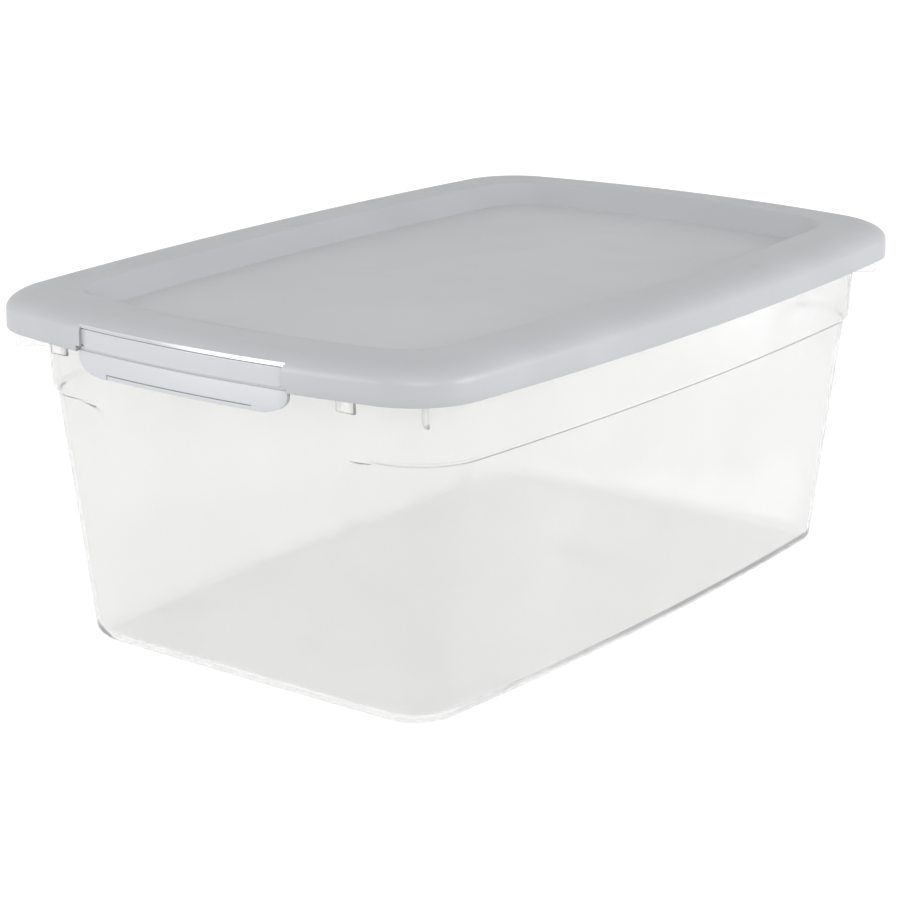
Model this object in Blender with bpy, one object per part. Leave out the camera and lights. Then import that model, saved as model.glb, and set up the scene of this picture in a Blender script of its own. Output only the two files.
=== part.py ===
"""Clear storage bin with a grey snap-on lid and a hinged latch flap on each short end.

Metres, +Z up. X is the long axis, Y the width. The bin stands on z = 0, centred on the origin.
Every horizontal section is a bowed rectangle: two large arcs across the short ends, two along
the long sides, and a corner arc tangent to both at each corner.
"""

import math

import bmesh
import bpy
from mathutils import Vector

MM = 0.001

# Lid, in mm: half length, half width, bow of the ends and of the sides, corner radius.
LID_A, LID_B = 213.5, 141.7
LID_BOW_A, LID_BOW_B = 18.4, 12.8
LID_CORNER = 35.5
LID_TOP = 171.6
SKIRT_BOTTOM = 154.8
LID_WALL = 1.6
SHOULDER_RUN, SHOULDER_RISE = 14.0, 8.0
CROWN_WIDTH = 29.5
PANEL_DEPTH = 11.0
PANEL_A, PANEL_B, PANEL_CORNER = 174.0, 103.2, 27.0

# Tub, in mm: half sizes of each level.
FLOOR_A, FLOOR_B, FLOOR_CORNER = 166.0, 103.0, 19.0
HEEL_Z, HEEL_A, HEEL_B, HEEL_CORNER = 7.0, 174.0, 111.6, 20.5
LEDGE_Z, LEDGE_A, LEDGE_B, LEDGE_CORNER = 125.6, 187.9, 128.0, 33.0
WALL_Z, WALL_A, WALL_B, WALL_CORNER = 166.0, 192.2, 132.2, 35.0
TUB_WALL = 1.6
FLOOR_WALL = 1.8
INSET_DEPTH, INSET_START = 2.4, 14.0
LEDGE_DROP = 1.6
PANEL_HALF, PANEL_TAPER = 63.0, 0.125
PANEL_ROUND = 12.0
RIM_A, RIM_B, RIM_BOW_A, RIM_CORNER = 209.6, 139.5, 16.7, 33.3
RIM_TOP = 169.3
RIM_LIP = 1.8
RIM_BOTTOM = 154.0

# Corner fins and end tabs below the rim.
FIN_BOTTOM, FIN_THICK = 144.6, 1.8
TAB_Y, TAB_WIDTH, TAB_BOTTOM, TAB_TOP = 84.0, 10.0, 147.6, 166.4
TAB_BACK, TAB_FACE = 197.4, 199.2

# Latch flap, in mm, given for the middle of the +X end; the flap follows the rim's bow.
HINGE_X, HINGE_Z, HINGE_R = 210.85, 164.65, 0.8
PAD_HALF, PAD_BOTTOM, PAD_CORNER = 58.3, 156.7, 3.0
BAND_HALF, BAND_BOTTOM = 61.0, 144.7
BAND_ROUND_Y, BAND_ROUND_Z = 16.0, 8.0
PLATE_FACE, PLATE_BACK = 211.2, 210.05
BAND_FLARE = 213.2
GRIP_HALF, GRIP_HEIGHT = 42.5, 2.4

# The gap in the lid's skirt for a latch flap, wider beside the band, and the brow over it.
NOTCH_HALF, NOTCH_LOW_HALF, NOTCH_STEP, NOTCH_DEPTH = 59.0, 61.6, 157.9, 206.2
BROW_FACE, BROW_BACK, BROW_BOTTOM, BROW_TOP = 212.1, 208.8, 165.9, 167.8

SHORT_STEPS, CORNER_STEPS, LONG_STEPS, BOW_STEPS = 5, 9, 6, 12


def clear_scene():
    """Removes whatever the start-up scene holds."""
    for obj in list(bpy.data.objects):
        bpy.data.objects.remove(obj, do_unlink=True)


def arc_radius(half, bow):
    """Radius of the arc that rises by bow over a chord of twice half."""
    return (half * half + bow * bow) / (2.0 * bow)


def corner_centre(a, b, radius_end, radius_side, corner):
    """Centre of the corner arc that is tangent inside the end arc and the side arc."""
    cx, cy = a - radius_end, b - radius_side
    first, second = radius_end - corner, radius_side - corner
    gap = math.hypot(cx, cy)
    along = (gap * gap + first * first - second * second) / (2.0 * gap)
    across = math.sqrt(max(first * first - along * along, 0.0))
    ux, uy = -cx / gap, cy / gap
    points = [
        (cx + ux * along - uy * across * side, uy * along + ux * across * side)
        for side in (1.0, -1.0)
    ]
    return max(points, key=lambda point: min(point))


def quadrant(a, b, bow_a, bow_b, corner, stations):
    """Points (x, y, nx, ny) of one quarter, from the end's middle to the side's middle."""
    radius_end, radius_side = arc_radius(b, bow_a), arc_radius(a, bow_b)
    cx, cy = corner_centre(a, b, radius_end, radius_side, corner)
    end_angle = math.atan2(cy, cx - (a - radius_end))
    side_angle = math.atan2(cy - (b - radius_side), cx)
    tangent_y = radius_end * math.sin(end_angle)
    points = []
    for y in stations(tangent_y):
        angle = math.asin(y / radius_end)
        points.append((a - radius_end + radius_end * math.cos(angle), y, angle))
    for step in range(CORNER_STEPS + 1):
        angle = end_angle + (side_angle - end_angle) * step / CORNER_STEPS
        points.append((cx + corner * math.cos(angle), cy + corner * math.sin(angle), angle))
    for step in range(1, LONG_STEPS + 1):
        angle = side_angle + (math.pi / 2 - side_angle) * step / LONG_STEPS
        x = radius_side * math.cos(angle)
        points.append((x, b - radius_side + radius_side * math.sin(angle), angle))
    return [(x, y, math.cos(angle), math.sin(angle)) for x, y, angle in points]


def even_stations(tangent_y):
    """Evenly spaced positions along half of a short end."""
    return [tangent_y * step / SHORT_STEPS for step in range(SHORT_STEPS)]


def whole_ring(quarter):
    """Mirrors a quarter into the whole outline, anticlockwise, with no point twice."""
    last = len(quarter) - 1
    ring = list(quarter)
    ring += [(-x, y, -nx, ny) for x, y, nx, ny in (quarter[i] for i in range(last - 1, -1, -1))]
    ring += [(-x, -y, -nx, -ny) for x, y, nx, ny in (quarter[i] for i in range(1, last + 1))]
    ring += [(x, -y, nx, -ny) for x, y, nx, ny in (quarter[i] for i in range(last - 1, 0, -1))]
    return ring


def outline(a, b, bow_a, bow_b, corner, stations=even_stations):
    """The whole bowed rectangle as (x, y, nx, ny) points."""
    return whole_ring(quadrant(a, b, bow_a, bow_b, corner, stations))


def lifted(ring, z, inward=0.0):
    """The ring at height z, every point moved inward by the given distance."""
    return [Vector((x - nx * inward, y - ny * inward, z)) * MM for x, y, nx, ny in ring]


def new_object(name, bm):
    """Turns a bmesh into a named object of the scene."""
    bmesh.ops.recalc_face_normals(bm, faces=bm.faces)
    mesh = bpy.data.meshes.new(name)
    bm.to_mesh(mesh)
    bm.free()
    obj = bpy.data.objects.new(name, mesh)
    bpy.context.scene.collection.objects.link(obj)
    return obj


def lofted(name, rings):
    """A closed body through the rings, with a flat fan over the first and over the last."""
    bm = bmesh.new()
    rows = [[bm.verts.new(point) for point in ring] for ring in rings]
    count = len(rows[0])
    for lower, upper in zip(rows, rows[1:]):
        for i in range(count):
            j = (i + 1) % count
            bm.faces.new((lower[i], lower[j], upper[j], upper[i]))
    for row, ring in ((rows[0], rings[0]), (rows[-1], rings[-1])):
        middle = bm.verts.new(Vector((0.0, 0.0, ring[0].z)))
        for i in range(count):
            bm.faces.new((row[i], row[(i + 1) % count], middle))
    return new_object(name, bm)


def swept(name, polygon, stations, place):
    """A polygon carried through stations (w, setback); place maps (u, v, w) in mm to metres."""
    bm = bmesh.new()
    rows = [[bm.verts.new(place(u - setback, v, w)) for u, v in polygon] for w, setback in stations]
    bm.faces.new(rows[0])
    bm.faces.new(list(reversed(rows[-1])))
    for first, second in zip(rows, rows[1:]):
        for i in range(len(polygon)):
            j = (i + 1) % len(polygon)
            bm.faces.new((first[i], second[i], second[j], first[j]))
    return new_object(name, bm)


def prism(name, polygon, low, high, place):
    """A straight prism over a polygon."""
    return swept(name, polygon, [(low, 0.0), (high, 0.0)], place)


def bowed(name, polygon, half, place):
    """A strip across an end, of twice the half width, that follows the bow of the rim."""
    radius = arc_radius(RIM_B, RIM_BOW_A)
    widths = [half * (2.0 * step / BOW_STEPS - 1.0) for step in range(BOW_STEPS + 1)]
    stations = [(y, radius - math.sqrt(radius * radius - y * y)) for y in widths]
    return swept(name, polygon, stations, place)


def hide_helper(obj):
    """Keeps a cutter out of the finished model."""
    obj.hide_render = True
    obj.display_type = "WIRE"


def join_or_cut(target, tool, operation):
    """Adds an exact Boolean between two bodies and hides the second."""
    modifier = target.modifiers.new(operation.title() + "_" + tool.name, "BOOLEAN")
    modifier.operation = operation
    modifier.solver = "EXACT"
    modifier.object = tool
    hide_helper(tool)


def blend(low, high, share):
    """Linear blend of two values."""
    return low + (high - low) * share


def inset_at(z):
    """How far the corners and long sides step in from the end panels at height z."""
    share = (z - INSET_START) / (LEDGE_Z - LEDGE_DROP - INSET_START)
    return INSET_DEPTH * min(max(share, 0.0), 1.0)


def panel_half_at(z):
    """Half width of the end panel at height z, opening out in a round just below the ledge."""
    half = PANEL_HALF + PANEL_TAPER * (z - LEDGE_Z / 2.0)
    rise = z - (LEDGE_Z - LEDGE_DROP - PANEL_ROUND)
    if rise > 0.0:
        half += PANEL_ROUND - math.sqrt(max(PANEL_ROUND**2 - rise * rise, 0.0))
    return half


def panel_stations(z):
    """Positions along half an end, with an edge of the end panel on two of them."""
    half = panel_half_at(min(z, LEDGE_Z - LEDGE_DROP))

    def stations(tangent_y):
        near, far = half - 1.2, half + 1.2
        return [0.0, near * 0.55, near, far, (far + tangent_y) / 2.0]

    return stations


def lower_outline(z, skin):
    """The tub wall below the ledge at height z; skin 0 is outside, the wall thickness inside."""
    if z < HEEL_Z:
        share = math.sqrt(max(1.0 - (1.0 - z / HEEL_Z) ** 2, 0.0))
        a, b = blend(FLOOR_A, HEEL_A, share), blend(FLOOR_B, HEEL_B, share)
        corner, bow_a, bow_b = blend(FLOOR_CORNER, HEEL_CORNER, share), 1.0, 7.4
    else:
        share = (z - HEEL_Z) / (LEDGE_Z - HEEL_Z)
        a, b = blend(HEEL_A, LEDGE_A, share), blend(HEEL_B, LEDGE_B, share)
        corner = blend(HEEL_CORNER, LEDGE_CORNER, share)
        bow_a, bow_b = blend(1.0, 3.0, share), blend(7.4, 9.0, share)
    ring = outline(a, b, bow_a, bow_b, corner, panel_stations(z))
    half, depth = panel_half_at(z), inset_at(z)
    moved = []
    for x, y, nx, ny in ring:
        inner_panel = abs(y) < half and abs(nx) > 0.9
        inward = skin if inner_panel else skin + depth
        moved.append((x - nx * inward, y - ny * inward, nx, ny))
    return moved


def upper_outline(z, skin):
    """The tub wall between the ledge and the rim at height z."""
    share = (z - LEDGE_Z) / (WALL_Z - LEDGE_Z)
    a, b = blend(LEDGE_A, WALL_A, share), blend(LEDGE_B, WALL_B, share)
    corner = blend(LEDGE_CORNER, WALL_CORNER, share)
    bow_a, bow_b = blend(3.0, 8.0, share), blend(9.0, 11.5, share)
    ring = outline(a, b, bow_a, bow_b, corner, panel_stations(LEDGE_Z))
    return [(x - nx * skin, y - ny * skin, nx, ny) for x, y, nx, ny in ring]


def rim_outline(share, inward=0.0):
    """A ring of the rim: share 0 is its outer lip, 1 the inside edge of the wall."""
    a, b = blend(RIM_A, WALL_A - TUB_WALL, share), blend(RIM_B, WALL_B - TUB_WALL, share)
    bow_a, bow_b = blend(RIM_BOW_A, 8.0, share), blend(LID_BOW_B, 11.5, share)
    corner = blend(RIM_CORNER, WALL_CORNER - TUB_WALL, share)
    ring = outline(a, b, bow_a, bow_b, corner, panel_stations(LEDGE_Z))
    return [(x - nx * inward, y - ny * inward, nx, ny) for x, y, nx, ny in ring]


def wall_heights():
    """Heights of the wall's rings below the ledge, close together at the heel and the round."""
    top = LEDGE_Z - LEDGE_DROP
    heel = [HEEL_Z * (1.0 - math.cos(math.radians(angle))) for angle in (0, 25, 45, 65, 90)]
    plain = [INSET_START, 50.0, 85.0]
    start = top - PANEL_ROUND
    rounded = [start + PANEL_ROUND * math.sin(math.radians(angle)) for angle in (0, 24, 46, 68, 90)]
    return heel + plain + rounded


def tub_rings():
    """Rings of the tub from the outside of its floor, over the rim, to the inside of its floor."""
    outside = [lifted(lower_outline(z, 0.0), z) for z in wall_heights()]
    outside += [lifted(upper_outline(z, 0.0), z) for z in (LEDGE_Z, 145.0, WALL_Z)]
    under = [(0.9, 166.9), (0.5, 166.6), (0.18, 165.0)]
    rim = [lifted(rim_outline(share), z) for share, z in under]
    rim += [lifted(rim_outline(0.0, RIM_LIP), z) for z in (163.0, RIM_BOTTOM)]
    rim += [lifted(rim_outline(0.0), z) for z in (RIM_BOTTOM, 164.2)]
    over = [(0.04, 165.3), (0.14, 166.3), (0.3, 167.3), (0.55, 168.3), (0.8, 168.9), (0.95, RIM_TOP)]
    rim += [lifted(rim_outline(share), z) for share, z in over]
    rim += [lifted(rim_outline(1.0), RIM_TOP - 0.7)]
    inside = [lifted(upper_outline(z, TUB_WALL), z) for z in (WALL_Z - 1.0, 145.0, LEDGE_Z)]
    for z in reversed(wall_heights()):
        raised = FLOOR_WALL + z * (1.0 - FLOOR_WALL / (LEDGE_Z - LEDGE_DROP))
        inside.append(lifted(lower_outline(z, TUB_WALL), raised))
    return outside + rim + inside


def fin(index, sign_x, sign_y):
    """A thin upright fin that runs from a corner of the wall out to the rim's lip."""
    radius_end = arc_radius(RIM_B, RIM_BOW_A)
    radius_side = arc_radius(RIM_A, LID_BOW_B)
    cx, cy = corner_centre(RIM_A, RIM_B, radius_end, radius_side, RIM_CORNER)
    out = Vector((sign_x, sign_y, 0.0)).normalized()
    side = Vector((-out.y, out.x, 0.0))
    centre = Vector((sign_x * cx, sign_y * cy, 0.0))
    reach = RIM_CORNER - 0.6
    lower = [(18.0, 156.0), (19.2, FIN_BOTTOM), (reach, FIN_BOTTOM)]
    polygon = lower + [(reach, 162.0), (26.0, 166.4), (18.8, 166.4)]
    half = FIN_THICK / 2.0
    return prism(
        f"Fin_{index}", polygon, -half, half,
        lambda u, v, w: (centre + out * u + side * w + Vector((0.0, 0.0, v))) * MM,
    )


def tab(index, sign_x, sign_y):
    """A thin tab that hangs from the end rim, beside the latch."""
    low_y, high_y = sorted((sign_y * (TAB_Y - TAB_WIDTH / 2), sign_y * (TAB_Y + TAB_WIDTH / 2)))
    polygon = [(TAB_BACK, TAB_BOTTOM), (TAB_FACE, TAB_BOTTOM), (TAB_FACE, TAB_TOP), (TAB_BACK, TAB_TOP)]
    return prism(
        f"Tab_{index}", polygon, low_y, high_y,
        lambda u, v, w: Vector((sign_x * u, w, v)) * MM,
    )


def build_tub():
    """The clear tub with its rim, corner fins and end tabs."""
    tub = lofted("Tub", tub_rings())
    index = 0
    for sign_x in (1, -1):
        for sign_y in (1, -1):
            index += 1
            join_or_cut(tub, fin(index, sign_x, sign_y), "UNION")
            join_or_cut(tub, tab(index, sign_x, sign_y), "UNION")
    return tub


def lid_section():
    """The lid's outer profile, as (distance in from the skirt, z), from the skirt up to the crown."""
    points = [(0.0, SKIRT_BOTTOM), (0.15, LID_TOP - SHOULDER_RISE)]
    for angle in (18, 34, 48, 60, 72, 82, 90):
        turn = math.radians(angle)
        run = SHOULDER_RUN * (1.0 - math.cos(turn)) + 0.15
        points.append((run, LID_TOP - SHOULDER_RISE * (1.0 - math.sin(turn))))
    points.append((CROWN_WIDTH - 2.0, LID_TOP))
    return points


def seat_section():
    """The seat from the crown's inner edge (share 0) down to the panel (share 1)."""
    drop = PANEL_DEPTH
    return [(0.0, 0.5), (0.12, 1.7), (0.45, drop * 0.52), (0.8, drop - 1.1), (0.92, drop - 0.3), (1.0, drop)]


def crown_outline(inward):
    """A ring of the lid a given distance in from the skirt, with its corner kept round."""
    corner = LID_CORNER - 0.25 * inward
    ends = arc_radius(LID_B, LID_BOW_A) - inward
    sides = arc_radius(LID_A, LID_BOW_B) - inward
    a, b = LID_A - inward, LID_B - inward
    bow_a = ends - math.sqrt(ends * ends - b * b)
    bow_b = sides - math.sqrt(sides * sides - a * a)
    return a, b, bow_a, bow_b, corner


def seat_outline(share):
    """A ring of the sloping seat between the crown (0) and the panel (1)."""
    a, b, bow_a, bow_b, corner = crown_outline(CROWN_WIDTH)
    return outline(
        blend(a, PANEL_A, share),
        blend(b, PANEL_B, share),
        blend(bow_a, bow_a * 0.6, share),
        blend(bow_b, bow_b * 0.9, share),
        blend(corner, PANEL_CORNER, share),
    )


def lid_rings():
    """Rings of the lid from the top of its panel, over the crown, to the panel's underside."""
    top = [lifted(seat_outline(share), LID_TOP - drop) for share, drop in reversed(seat_section())]
    top += [lifted(outline(*crown_outline(run)), z) for run, z in reversed(lid_section())]
    under = []
    for run, z in lid_section():
        rise = max(z - (LID_TOP - SHOULDER_RISE), 0.0) / SHOULDER_RISE
        thin = LID_WALL * math.sqrt(max(1.0 - rise * rise, 0.0))
        under.append(lifted(outline(*crown_outline(run + thin)), z - LID_WALL * rise))
    seat = [lifted(seat_outline(share), LID_TOP - LID_WALL - drop) for share, drop in seat_section()]
    return top + under + seat


def notch(index, sign):
    """The cutter for the gap in the skirt at one end."""
    low, high = SKIRT_BOTTOM - 4.0, BROW_BOTTOM + 0.9
    right = [(NOTCH_LOW_HALF, low), (NOTCH_LOW_HALF, NOTCH_STEP)]
    right += [(NOTCH_HALF, NOTCH_STEP), (NOTCH_HALF, high)]
    left = [(-y, z) for y, z in reversed(right)]
    return prism(
        f"Notch_{index}", right + left, NOTCH_DEPTH, LID_A + 6.0,
        lambda u, v, w: Vector((sign * w, u, v)) * MM,
    )


def brow(index, sign):
    """The bar that closes the shoulder over the gap at one end."""
    polygon = [
        (BROW_BACK, BROW_BOTTOM), (BROW_FACE, BROW_BOTTOM), (BROW_FACE, BROW_TOP), (BROW_BACK, BROW_TOP),
    ]
    half = NOTCH_HALF + 1.0
    return bowed(f"Brow_{index}", polygon, half, lambda u, v, w: Vector((sign * u, w, v)) * MM)


def build_lid():
    """The grey lid, cut away at both ends where the latch flaps hang."""
    lid = lofted("Lid", lid_rings())
    for index, sign in enumerate((1, -1)):
        join_or_cut(lid, notch(index, sign), "DIFFERENCE")
        join_or_cut(lid, brow(index, sign), "UNION")
    return lid


def rounded_bottom(half, low, high, run, rise, steps=5):
    """A (y, z) outline with elliptical lower corners and square upper ones."""
    points = [(half, high), (-half, high)]
    for step in range(steps + 1):
        turn = math.pi / 2 * step / steps
        points.append((-half + run * (1.0 - math.cos(turn)), low + rise * (1.0 - math.sin(turn))))
    for step in range(steps, -1, -1):
        turn = math.pi / 2 * step / steps
        points.append((half - run * (1.0 - math.cos(turn)), low + rise * (1.0 - math.sin(turn))))
    return points


def flap_profile():
    """The upper plate's (x, z) profile: a rounded top edge about the hinge line."""
    points = [(PLATE_BACK, PAD_BOTTOM - 1.0), (HINGE_X + HINGE_R, PAD_BOTTOM - 1.0)]
    for step in range(9):
        turn = math.pi * step / 8
        points.append((HINGE_X + HINGE_R * math.cos(turn), HINGE_Z + HINGE_R * math.sin(turn)))
    return points


def band_profile():
    """The lower band's (x, z) profile: it leans outward towards its bottom edge."""
    top = PAD_BOTTOM + 0.7
    return [
        (PLATE_BACK, top),
        (PLATE_BACK, BAND_BOTTOM),
        (BAND_FLARE - 0.5, BAND_BOTTOM),
        (BAND_FLARE, BAND_BOTTOM + 0.8),
        (BAND_FLARE - 0.8, 150.5),
        (PLATE_FACE + 0.2, 155.0),
        (PLATE_FACE, top),
    ]


def grip_profile():
    """The finger notch's (x, z) profile: it leaves the back of the band's edge in place."""
    inner, outer, top = PLATE_BACK + 0.9, BAND_FLARE + 3.0, BAND_BOTTOM + GRIP_HEIGHT
    return [(inner, BAND_BOTTOM - 3.0), (outer, BAND_BOTTOM - 3.0), (outer, top), (inner, top)]


def build_latch(name, sign):
    """One latch flap; its origin is on its hinge line."""
    hinge = Vector((sign * HINGE_X, 0.0, HINGE_Z)) * MM

    def across(u, v, w):
        return Vector((sign * w, u, v)) * MM - hinge

    def along(u, v, w):
        return Vector((sign * u, w, v)) * MM - hinge

    def face_cut(label, half, low, run, rise):
        section = rounded_bottom(half, low, HINGE_Z + 6.0, run, rise)
        return prism(f"{name}_{label}", section, PLATE_BACK - 6.0, BAND_FLARE + 3.0, across)

    pad = bowed(name, flap_profile(), PAD_HALF, along)
    band = bowed(f"{name}_Band", band_profile(), BAND_HALF, along)
    pad_edge = face_cut("Pad_Edge", PAD_HALF + 1.0, PAD_BOTTOM, PAD_CORNER + 1.0, PAD_CORNER)
    band_edge = face_cut("Band_Edge", BAND_HALF + 0.01, BAND_BOTTOM - 0.01, BAND_ROUND_Y, BAND_ROUND_Z)
    grip = bowed(f"{name}_Grip", grip_profile(), GRIP_HALF, along)
    join_or_cut(pad, pad_edge, "INTERSECT")
    join_or_cut(band, band_edge, "INTERSECT")
    join_or_cut(band, grip, "DIFFERENCE")
    join_or_cut(pad, band, "UNION")
    for helper in (band, pad_edge, band_edge, grip):
        helper.parent = pad
    pad.location = hinge
    return pad


def paint(obj, name, color, roughness, transmission=0.0):
    """Gives an object its own material."""
    material = bpy.data.materials.new(name)
    material.use_nodes = True
    shader = material.node_tree.nodes["Principled BSDF"]
    shader.inputs["Base Color"].default_value = (*color, 1.0)
    shader.inputs["Roughness"].default_value = roughness
    shader.inputs["Transmission Weight"].default_value = transmission
    obj.data.materials.append(material)
    obj.data.shade_smooth()
    obj.data.set_sharp_from_angle(angle=math.radians(35.0))


def main():
    """Builds the tub, the lid and the two latch flaps."""
    clear_scene()
    tub = build_tub()
    lid = build_lid()
    latches = [build_latch("Latch_Front", -1), build_latch("Latch_Rear", 1)]
    paint(tub, "Clear_Plastic", (0.93, 0.94, 0.93), 0.15, 0.9)
    paint(lid, "Lid_Plastic", (0.50, 0.51, 0.54), 0.4)
    for latch in latches:
        paint(latch, f"{latch.name}_Plastic", (0.52, 0.53, 0.56), 0.3)


main()
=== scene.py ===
"""Clear storage bin with a grey lift-off lid and a latch flap on each short end.

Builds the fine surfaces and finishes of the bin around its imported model: the clear tub, the satin
lid with its sunken panel, and the two latch flaps. Sizes are in millimetres until a point is
placed, then metres, +Z up. X is the long axis and the bin stands on z = 0.
"""

import logging
import math
from collections.abc import Callable, Iterable, Sequence
from dataclasses import dataclass
from enum import Enum
from typing import Any

import bpy
import numpy as np
from mathutils import Matrix, Vector


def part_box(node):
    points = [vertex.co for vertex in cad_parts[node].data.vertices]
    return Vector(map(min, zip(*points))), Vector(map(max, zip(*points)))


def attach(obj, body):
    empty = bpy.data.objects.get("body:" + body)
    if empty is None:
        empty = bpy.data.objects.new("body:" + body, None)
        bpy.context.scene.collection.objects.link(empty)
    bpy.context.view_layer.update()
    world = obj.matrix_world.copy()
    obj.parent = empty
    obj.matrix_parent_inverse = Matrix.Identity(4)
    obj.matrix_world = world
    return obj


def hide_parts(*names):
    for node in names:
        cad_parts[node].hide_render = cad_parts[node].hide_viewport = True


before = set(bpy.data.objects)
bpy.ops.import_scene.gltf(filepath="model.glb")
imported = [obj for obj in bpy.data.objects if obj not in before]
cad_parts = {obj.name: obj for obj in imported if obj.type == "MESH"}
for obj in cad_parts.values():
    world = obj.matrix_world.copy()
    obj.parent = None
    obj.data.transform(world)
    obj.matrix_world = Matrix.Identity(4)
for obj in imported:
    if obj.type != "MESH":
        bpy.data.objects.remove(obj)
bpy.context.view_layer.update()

MM = 0.001
LOG = logging.getLogger("storage_bin")
END_BOW_RADIUS = 591.0
REFRACTION = 1.49
WHITE = (1.0, 1.0, 1.0, 1.0)

Profile = list[tuple[float, float]]
Station = tuple[float, float]
Place = Callable[[float, float, float], Vector]
Rgb = tuple[float, float, float]


class Joining(Enum):
    """How one closed body changes another."""

    UNION = "UNION"
    CUT = "DIFFERENCE"
    COMMON = "INTERSECT"


class LidFace(Enum):
    """The lid's areas of different finish and painted light, by the index of their material slot."""

    BORDER = 0
    PANEL = 1
    BROW = 2


# ---------------------------------------------------------------------------------------------
# Outlines and profiles
# ---------------------------------------------------------------------------------------------


def blend(low: float, high: float, share: float) -> float:
    """Linear blend of two values."""
    return low + (high - low) * share


def eased(value: float, low: float, high: float) -> float:
    """Smooth step from 0 at low to 1 at high."""
    share = min(max((value - low) / (high - low), 0.0), 1.0)
    return share * share * (3.0 - 2.0 * share)


def sweep(first: float, last: float, steps: int) -> list[float]:
    """Evenly spaced values from first to last, both included.

    Args:
        first: The first value.
        last: The last value.
        steps: How many intervals lie between them.

    Returns:
        The steps + 1 values.
    """
    return [blend(first, last, step / steps) for step in range(steps + 1)]


@dataclass(frozen=True)
class Outline:
    """A bowed rectangle: an arc across each end, an arc along each side, a round at each corner."""

    half_length: float
    half_width: float
    end_bow: float
    side_bow: float
    corner: float

    CORNER_STEPS = 22
    SIDE_STEPS = 16
    END_STEPS = 14

    @staticmethod
    def arc_radius(half: float, bow: float) -> float:
        """Radius of the arc that rises by bow over a chord of twice half."""
        return (half * half + bow * bow) / (2.0 * bow)

    @property
    def end_radius(self) -> float:
        """Radius of the arc across an end."""
        return self.arc_radius(self.half_width, self.end_bow)

    @property
    def side_radius(self) -> float:
        """Radius of the arc along a side."""
        return self.arc_radius(self.half_length, self.side_bow)

    def corner_centre(self) -> tuple[float, float]:
        """Centre of the corner arc, which is tangent inside the end arc and the side arc.

        Returns:
            Its x and y in the positive quarter.
        """
        cx, cy = self.half_length - self.end_radius, self.half_width - self.side_radius
        first, second = self.end_radius - self.corner, self.side_radius - self.corner
        gap = math.hypot(cx, cy)
        along = (gap * gap + first * first - second * second) / (2.0 * gap)
        across = math.sqrt(max(first * first - along * along, 0.0))
        ux, uy = -cx / gap, cy / gap
        points = [
            (cx + ux * along - uy * across * side, uy * along + ux * across * side)
            for side in (1.0, -1.0)
        ]
        return max(points, key=min)

    def toward(self, other: "Outline", share: float) -> "Outline":
        """The outline a given share of the way to another one."""
        return Outline(
            blend(self.half_length, other.half_length, share),
            blend(self.half_width, other.half_width, share),
            blend(self.end_bow, other.end_bow, share),
            blend(self.side_bow, other.side_bow, share),
            blend(self.corner, other.corner, share),
        )

    def shrunk(self, inward: float, corner_share: float = 0.25) -> "Outline":
        """The outline moved inward, with the same arc centres and its corner kept round.

        Args:
            inward: Distance in mm.
            corner_share: How much of that distance comes off the corner's radius.

        Returns:
            The smaller outline.
        """
        ends, sides = self.end_radius - inward, self.side_radius - inward
        length, width = self.half_length - inward, self.half_width - inward
        return Outline(
            length,
            width,
            ends - math.sqrt(ends * ends - width * width),
            sides - math.sqrt(sides * sides - length * length),
            self.corner - corner_share * inward,
        )

    def quarter(self, stations: Sequence[float] | None = None) -> np.ndarray:
        """Points of the positive quarter, from the end's middle to the side's middle.

        Args:
            stations: Positions along half the end, as y in mm. Even ones if left out.

        Returns:
            Rows of x, y and the outward normal.
        """
        cx, cy = self.corner_centre()
        end_x, side_y = self.half_length - self.end_radius, self.half_width - self.side_radius
        end_angle = math.atan2(cy, cx - end_x)
        side_angle = math.atan2(cy - side_y, cx)
        if stations is None:
            stations = sweep(0.0, self.end_radius * math.sin(end_angle), self.END_STEPS)[:-1]
        rows = []
        for y in stations:
            turn = math.asin(y / self.end_radius)
            rows.append((end_x + self.end_radius * math.cos(turn), y, turn))
        for turn in sweep(end_angle, side_angle, self.CORNER_STEPS):
            rows.append((cx + self.corner * math.cos(turn), cy + self.corner * math.sin(turn), turn))
        for turn in sweep(side_angle, math.pi / 2, self.SIDE_STEPS)[1:]:
            x, y = self.side_radius * math.cos(turn), self.side_radius * math.sin(turn)
            rows.append((x, side_y + y, turn))
        table = np.array(rows)
        return np.column_stack([table[:, 0], table[:, 1], np.cos(table[:, 2]), np.sin(table[:, 2])])

    def end_tangent(self) -> float:
        """The y at which the end arc meets the corner arc."""
        cx, cy = self.corner_centre()
        return self.end_radius * math.sin(math.atan2(cy, cx - (self.half_length - self.end_radius)))

    def ring(self, stations: Sequence[float] | None = None) -> np.ndarray:
        """The whole outline, anticlockwise, with no point twice."""
        quarter = self.quarter(stations)
        flip_x, flip_y = np.array([-1, 1, -1, 1]), np.array([1, -1, 1, -1])
        return np.concatenate([
            quarter,
            quarter[-2::-1] * flip_x,
            quarter[1:] * flip_x * flip_y,
            quarter[-2:0:-1] * flip_y,
        ])


def lifted(ring: np.ndarray, z: float, inward: float | np.ndarray = 0.0) -> np.ndarray:
    """Places a ring at a height, each point moved inward along its normal.

    Args:
        ring: Rows of x, y and normal, in mm.
        z: The height in mm.
        inward: One distance in mm, or one for each point.

    Returns:
        Rows of x, y and z in mm.
    """
    moved = ring[:, :2] - ring[:, 2:] * np.reshape(inward, (-1, 1))
    return np.column_stack([moved, np.full(len(moved), z)])


def bow_stations(half: float, steps: int = 28) -> list[Station]:
    """Stations across an end that follow the bow of the rim.

    Args:
        half: Half the width in mm.
        steps: How many intervals the width has.

    Returns:
        At each station, its y and how far it is set back from the end's middle.
    """
    radius = END_BOW_RADIUS
    return [(y, radius - math.sqrt(radius * radius - y * y)) for y in sweep(-half, half, steps)]


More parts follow.
